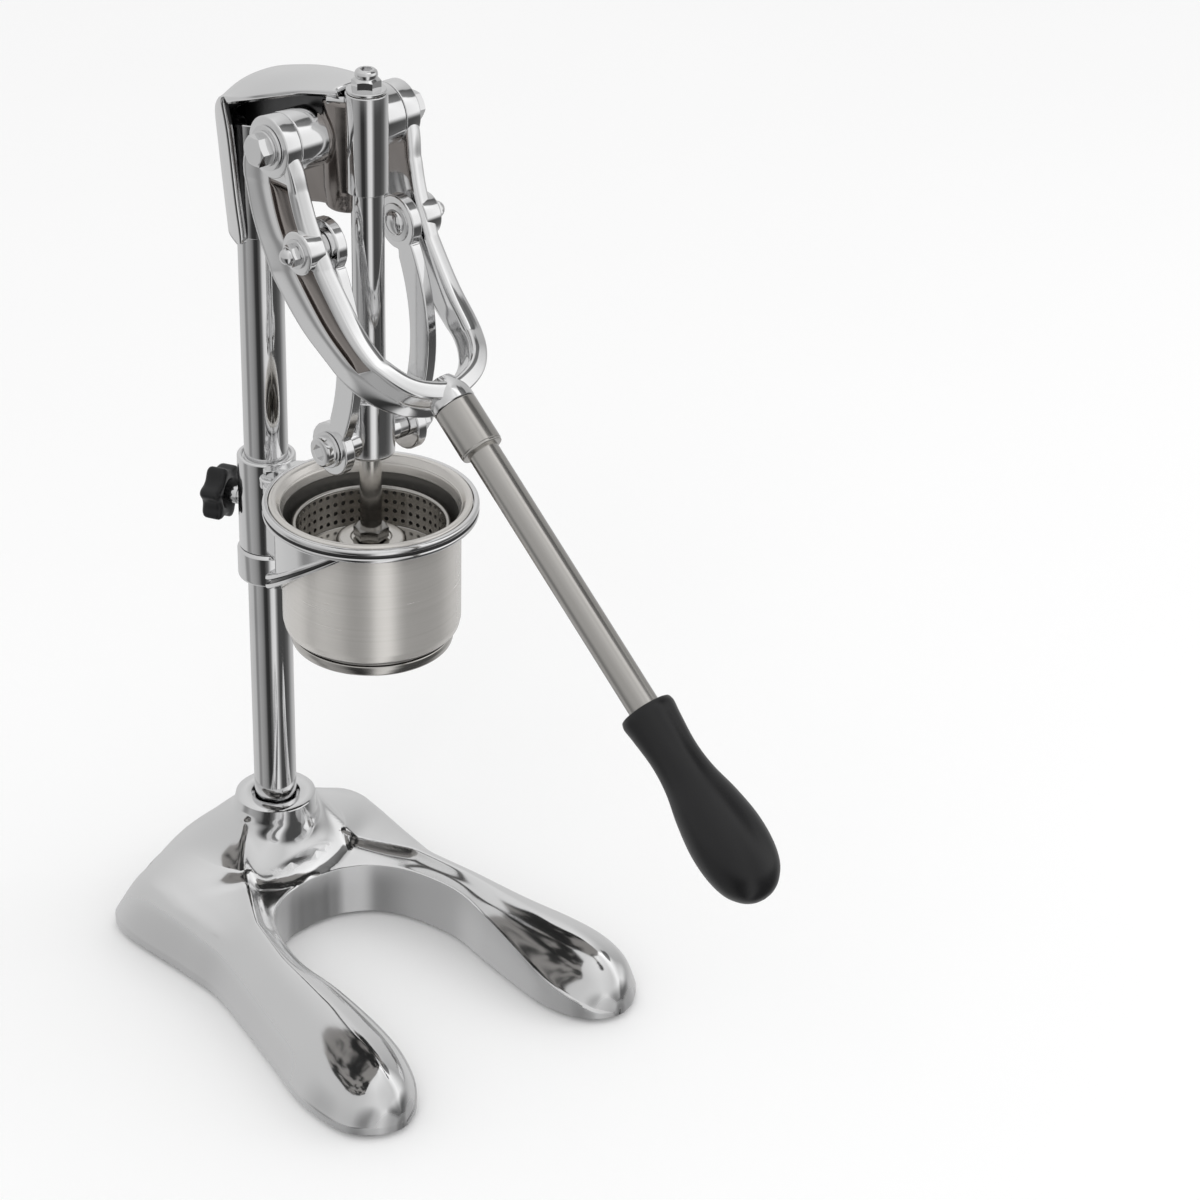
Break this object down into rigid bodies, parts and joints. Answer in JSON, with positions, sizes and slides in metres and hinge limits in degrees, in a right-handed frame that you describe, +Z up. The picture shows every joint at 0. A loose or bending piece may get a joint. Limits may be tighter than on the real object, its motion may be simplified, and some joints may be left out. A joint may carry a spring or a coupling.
{
  "type": "manual long fries press",
  "caption": "Bench lever press for long fries: horseshoe base, column, guided plunger on a forked lever, and a round barrel in an adjustable holder.",
  "frame": {"origin": "centre of the footprint's bounding box, on the surface that the feet stand on", "axes": "+Z up along the column, -Y towards the lever's handle and the open side of the base, +X to the right for someone who stands at the handle and looks at the column"},
  "size_m": [0.2222, 0.4748, 0.5676],
  "materials": {
    "polished_casting": "mirror-polished casting",
    "bright_steel": "bright polished steel",
    "satin_steel": "satin stainless steel",
    "bronze": "plain bearing bronze",
    "black_plastic": "semi-gloss moulded",
    "black_rubber": "matt moulded rubber"
  },
  "bodies": {
    "stand": {"base_casting": "polished_casting", "rubber_feet": "black_rubber", "foot_screws": "bright_steel", "column": "bright_steel", "column_plug": "satin_steel", "column_bolt": "bright_steel", "column_washer": "bright_steel", "stop_collar": "polished_casting", "collar_screw": "bright_steel", "head_casting": "polished_casting", "head_screws": "bright_steel", "sleeve_screw": "bright_steel", "pivot_bolts": "bright_steel", "pivot_washers": "bright_steel", "guide_sleeve": "bright_steel", "guide_bushes": "bronze"},
    "holder": {"barrel_holder": "polished_casting"},
    "knob": {"star_knob": "black_plastic", "knob_screw": "bright_steel"},
    "barrel_unit": {"barrel": "satin_steel", "die_plate": "satin_steel"},
    "lever": {"fork_lever": "polished_casting", "crank_studs": "bright_steel", "crank_washers": "bright_steel", "crank_nuts": "bright_steel", "handle_ferrule": "satin_steel", "handle_tube": "satin_steel", "handle_grip": "black_plastic"},
    "plunger": {"upper_rod": "satin_steel", "lower_rod": "satin_steel", "cap_washer": "bright_steel", "cap_nut": "bright_steel", "crosshead": "polished_casting", "crosshead_screw": "bright_steel", "cross_pin": "bright_steel", "pin_washers": "bright_steel", "pin_nut": "bright_steel", "plunger_hub": "satin_steel", "perforated_cup": "satin_steel", "piston_disc": "satin_steel", "piston_washer": "bright_steel", "plunger_top_nut": "bright_steel", "plunger_low_nut": "bright_steel"},
    "links": {"left_link": "polished_casting", "right_link": "polished_casting", "link_studs": "bright_steel"}
  },
  "joints": [
    {"name": "lever_hinge", "type": "hinge", "parent": "stand", "child": "lever", "pos_m": [0, 0.10644, 0.5274], "axis": [-1, 0, 0], "range_deg": [0, 100]},
    {"name": "plunger_slide", "type": "slide", "parent": "stand", "child": "plunger", "axis": [0, 0, 1], "range_m": [0, 0.0847]},
    {"name": "link_hinge", "type": "hinge", "parent": "plunger", "child": "links", "pos_m": [0, 0.08044, 0.359], "axis": [1, 0, 0], "range_deg": [0, 12.47]},
    {"name": "holder_slide", "type": "slide", "parent": "stand", "child": "holder", "axis": [0, 0, 1], "range_m": [0, 0.016]},
    {"name": "barrel_lift", "type": "slide", "parent": "holder", "child": "barrel_unit", "axis": [0, 0, 1], "range_m": [0, 0.012]},
    {"name": "knob_turn", "type": "hinge", "parent": "holder", "child": "knob", "pos_m": [0, 0.17544, 0.279], "axis": [-0.4695, 0.8829, 0], "range_deg": [0, 360]}
  ],
  "couplings": [
    {"joint": "plunger_slide", "follows": "lever_hinge", "m_per_rad": 0.048241},
    {"joint": "link_hinge", "follows": "lever_hinge", "ratio": 0.12371}
  ]
}
